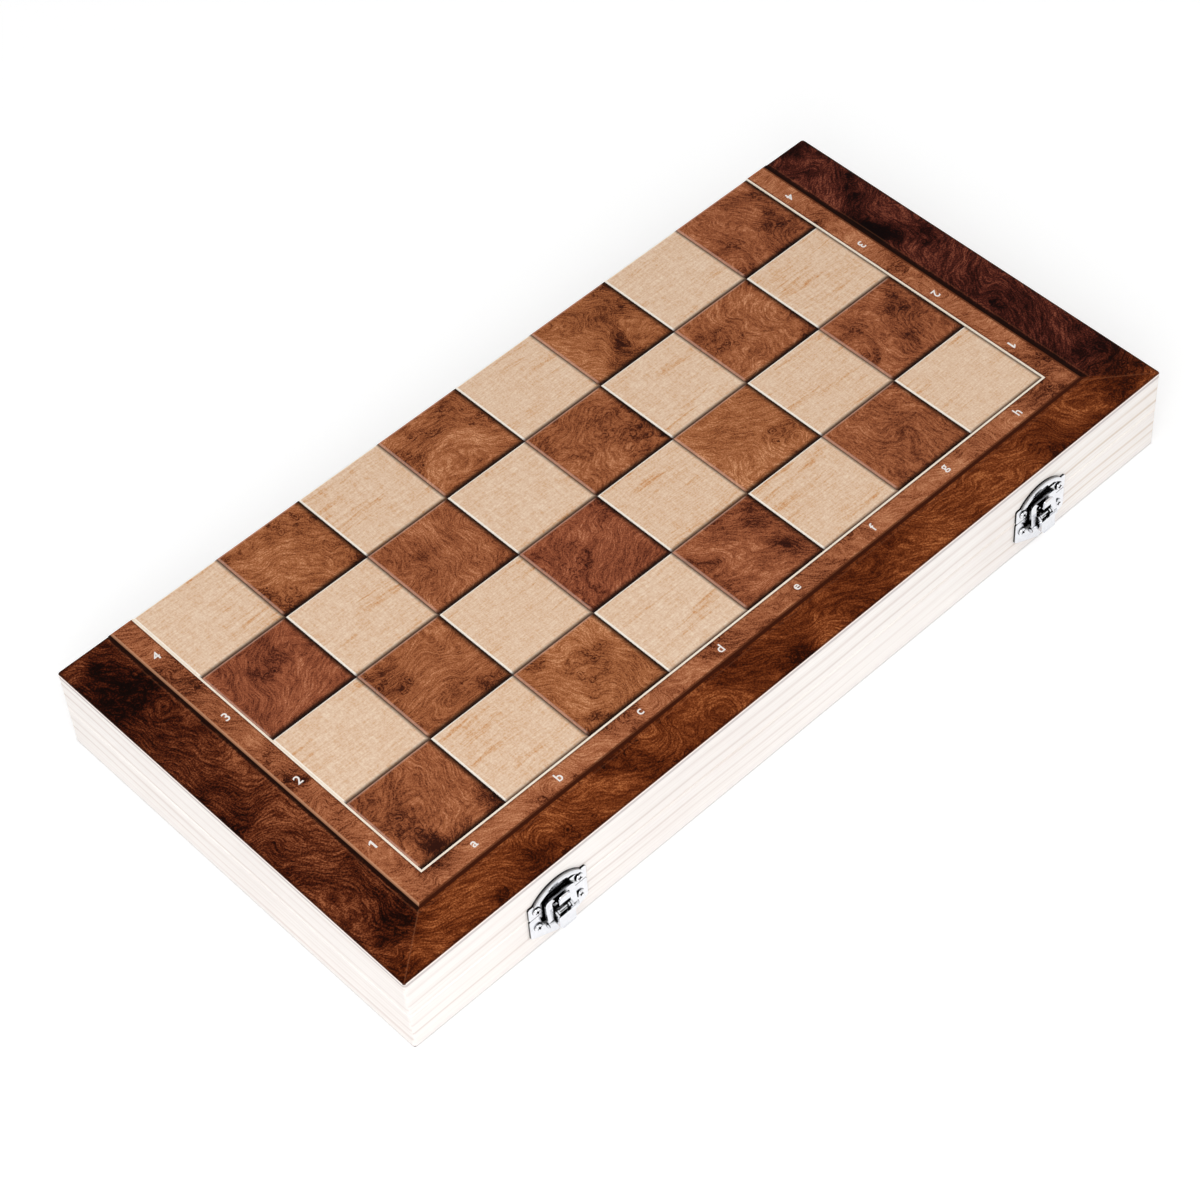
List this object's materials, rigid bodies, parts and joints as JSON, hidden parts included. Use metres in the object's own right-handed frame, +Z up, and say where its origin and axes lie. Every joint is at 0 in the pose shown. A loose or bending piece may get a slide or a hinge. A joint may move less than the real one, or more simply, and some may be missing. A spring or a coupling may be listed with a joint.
{
  "type": "folding chess board",
  "caption": "Wooden chess board that folds in half into a flat storage box, with squares let into both outer faces, a hinged fold and toggle latches.",
  "frame": {"origin": "middle of the face that lies on the table, with the box folded shut", "axes": "+X along the fold from file a to file h, +Y from the latched front to the fold at the back, +Z up"},
  "size_m": [0.34, 0.1743, 0.035],
  "materials": {
    "pine": "pale pine, fine straight grain, matt clear coat",
    "fibreboard": "beige board edge, sanded",
    "dark_veneer": "red-brown burl, satin",
    "light_veneer": "figured maple, satin",
    "band_veneer": "mid brown burl, satin",
    "border_veneer": "dark burl, satin",
    "white_line": "pale inlay line, satin",
    "black_line": "near black inlay line, satin",
    "liner_print": "wood print lining, matt",
    "hinge_steel": "nickel plated",
    "latch_chrome": "bright plated sheet steel"
  },
  "bodies": {
    "lower_case": {"latch_base_plate_screws": "latch_chrome", "left_hinge_lower_leaf": "hinge_steel", "left_hinge_pin": "hinge_steel", "left_latch_base_plate": "latch_chrome", "left_latch_lever_pin": "latch_chrome", "lower_back_rail": "pine", "lower_coordinate_band": "band_veneer", "lower_dark_squares": "dark_veneer", "lower_front_border": "border_veneer", "lower_front_rail": "pine", "lower_hinge_screws": "hinge_steel", "lower_inner_line": "white_line", "lower_left_border": "border_veneer", "lower_left_rail": "pine", "lower_light_squares": "light_veneer", "lower_liner": "liner_print", "lower_outer_line": "black_line", "lower_panel": "fibreboard", "lower_right_border": "border_veneer", "lower_right_rail": "pine", "right_hinge_lower_leaf": "hinge_steel", "right_hinge_pin": "hinge_steel", "right_latch_base_plate": "latch_chrome", "right_latch_lever_pin": "latch_chrome"},
    "lid": {"catch_plate_screws": "latch_chrome", "left_catch_plate": "latch_chrome", "left_hinge_upper_leaf": "hinge_steel", "right_catch_plate": "latch_chrome", "right_hinge_upper_leaf": "hinge_steel", "upper_back_rail": "pine", "upper_coordinate_band": "band_veneer", "upper_dark_squares": "dark_veneer", "upper_front_border": "border_veneer", "upper_front_rail": "pine", "upper_hinge_screws": "hinge_steel", "upper_inner_line": "white_line", "upper_left_border": "border_veneer", "upper_left_rail": "pine", "upper_light_squares": "light_veneer", "upper_liner": "liner_print", "upper_outer_line": "black_line", "upper_panel": "fibreboard", "upper_right_border": "border_veneer", "upper_right_rail": "pine"},
    "left_lever": {"left_latch_bail_pin": "latch_chrome", "left_latch_lever": "latch_chrome"},
    "left_bail": {"left_latch_bail": "latch_chrome"},
    "right_lever": {"right_latch_bail_pin": "latch_chrome", "right_latch_lever": "latch_chrome"},
    "right_bail": {"right_latch_bail": "latch_chrome"}
  },
  "joints": [
    {"name": "lid_fold", "type": "hinge", "parent": "lower_case", "child": "lid", "pos_m": [0, 0.08365, 0.0175], "axis": [-1, 0, 0], "range_deg": [0, 180]},
    {"name": "left_lever_turn", "type": "hinge", "parent": "lower_case", "child": "left_lever", "pos_m": [-0.11, -0.0861, 0.0145], "axis": [-1, 0, 0], "range_deg": [0, 110]},
    {"name": "left_bail_turn", "type": "hinge", "parent": "left_lever", "child": "left_bail", "pos_m": [-0.11, -0.0858, 0.0111], "axis": [1, 0, 0], "range_deg": [0, 90.2]},
    {"name": "right_lever_turn", "type": "hinge", "parent": "lower_case", "child": "right_lever", "pos_m": [0.11, -0.0861, 0.0145], "axis": [-1, 0, 0], "range_deg": [0, 110]},
    {"name": "right_bail_turn", "type": "hinge", "parent": "right_lever", "child": "right_bail", "pos_m": [0.11, -0.0858, 0.0111], "axis": [1, 0, 0], "range_deg": [0, 90.2]}
  ],
  "couplings": [
    {"joint": "left_bail_turn", "follows": "left_lever_turn", "ratio": 0.82},
    {"joint": "right_bail_turn", "follows": "right_lever_turn", "ratio": 0.82}
  ]
}
